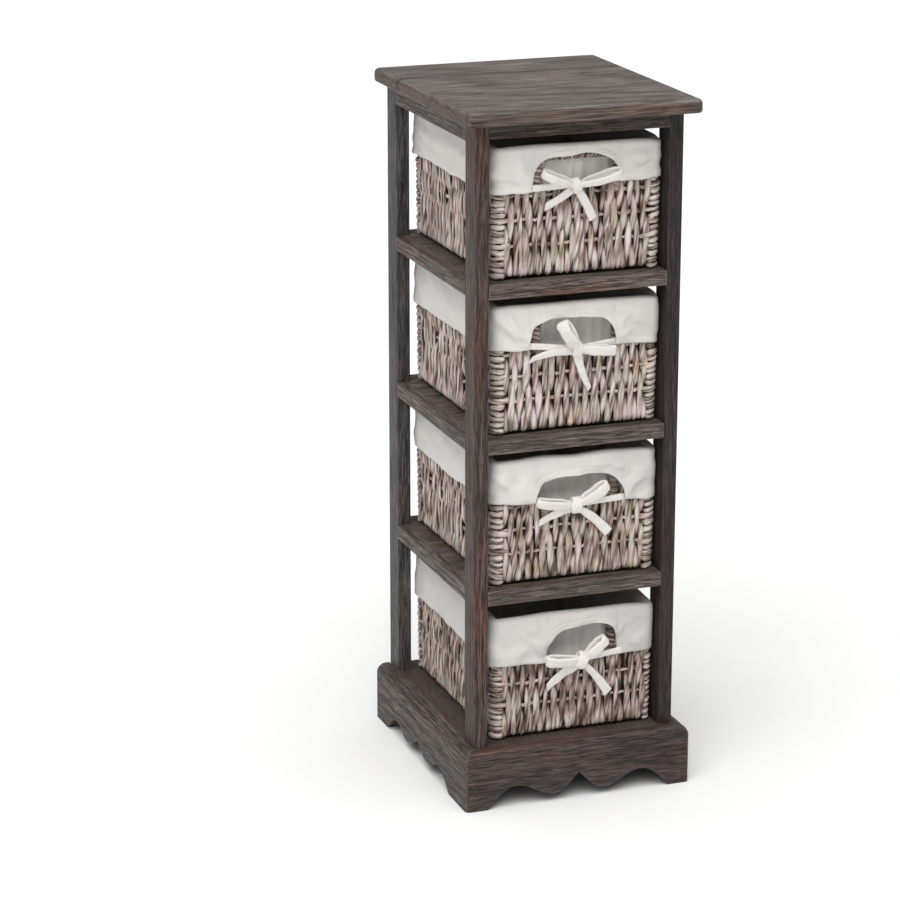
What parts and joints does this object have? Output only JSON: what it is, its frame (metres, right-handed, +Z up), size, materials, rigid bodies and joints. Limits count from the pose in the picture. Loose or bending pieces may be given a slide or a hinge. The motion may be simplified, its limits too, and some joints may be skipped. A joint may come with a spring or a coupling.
{
  "type": "basket storage rack",
  "caption": "Narrow free-standing wooden storage tower with open sides, a scalloped plinth and cloth-lined woven baskets that pull out to the front.",
  "frame": {"origin": "on the floor under the centre of the outline", "axes": "+Z up along the tower, -Y towards the front, +X to the right seen from the front"},
  "size_m": [0.296, 0.34, 0.86],
  "materials": {
    "stained_wood": "open-grain wood, weathered dark brown-grey stain, matt",
    "dowel_wood": "plain beech dowel",
    "screw_steel": "zinc-plated countersunk screw",
    "woven_husk": "twisted dried husk, whitewashed grey-beige with tan patches, matt",
    "frame_wire": "drawn steel wire",
    "liner_cotton": "plain-woven unbleached cotton, matt",
    "ribbon_cotton": "sewn cotton tie, matt"
  },
  "bodies": {
    "rack": {"top_board_front": "stained_wood", "top_board_rear": "stained_wood", "post_front_left": "stained_wood", "post_front_right": "stained_wood", "post_rear_left": "stained_wood", "post_rear_right": "stained_wood", "apron_front": "stained_wood", "apron_rear": "stained_wood", "apron_left": "stained_wood", "apron_right": "stained_wood", "shelf_1_front_rail": "stained_wood", "shelf_1_rear_rail": "stained_wood", "shelf_1_left_rail": "stained_wood", "shelf_1_right_rail": "stained_wood", "shelf_1_panel": "stained_wood", "shelf_2_front_rail": "stained_wood", "shelf_2_rear_rail": "stained_wood", "shelf_2_left_rail": "stained_wood", "shelf_2_right_rail": "stained_wood", "shelf_2_panel": "stained_wood", "shelf_3_front_rail": "stained_wood", "shelf_3_rear_rail": "stained_wood", "shelf_3_left_rail": "stained_wood", "shelf_3_right_rail": "stained_wood", "shelf_3_panel": "stained_wood", "plinth_front": "stained_wood", "plinth_left": "stained_wood", "plinth_right": "stained_wood", "plinth_rear": "stained_wood", "base_board": "stained_wood", "base_cleat_front": "stained_wood", "base_cleat_left": "stained_wood", "base_cleat_right": "stained_wood", "rail_dowels": "dowel_wood", "top_screws": "screw_steel", "plinth_screws": "screw_steel"},
    "basket_1": {"basket_1_woven_body": "woven_husk", "basket_1_wire_frame": "frame_wire", "basket_1_liner": "liner_cotton", "basket_1_ribbon_tie": "ribbon_cotton"},
    "basket_2": {"basket_2_woven_body": "woven_husk", "basket_2_wire_frame": "frame_wire", "basket_2_liner": "liner_cotton", "basket_2_ribbon_tie": "ribbon_cotton"},
    "basket_3": {"basket_3_woven_body": "woven_husk", "basket_3_wire_frame": "frame_wire", "basket_3_liner": "liner_cotton", "basket_3_ribbon_tie": "ribbon_cotton"},
    "basket_4": {"basket_4_woven_body": "woven_husk", "basket_4_wire_frame": "frame_wire", "basket_4_liner": "liner_cotton", "basket_4_ribbon_tie": "ribbon_cotton"}
  },
  "joints": [
    {"name": "basket_1_slide", "type": "slide", "parent": "rack", "child": "basket_1", "axis": [0, -1, 0], "range_m": [0, 0.27]},
    {"name": "basket_2_slide", "type": "slide", "parent": "rack", "child": "basket_2", "axis": [0, -1, 0], "range_m": [0, 0.27]},
    {"name": "basket_3_slide", "type": "slide", "parent": "rack", "child": "basket_3", "axis": [0, -1, 0], "range_m": [0, 0.27]},
    {"name": "basket_4_slide", "type": "slide", "parent": "rack", "child": "basket_4", "axis": [0, -1, 0], "range_m": [0, 0.27]}
  ]
}
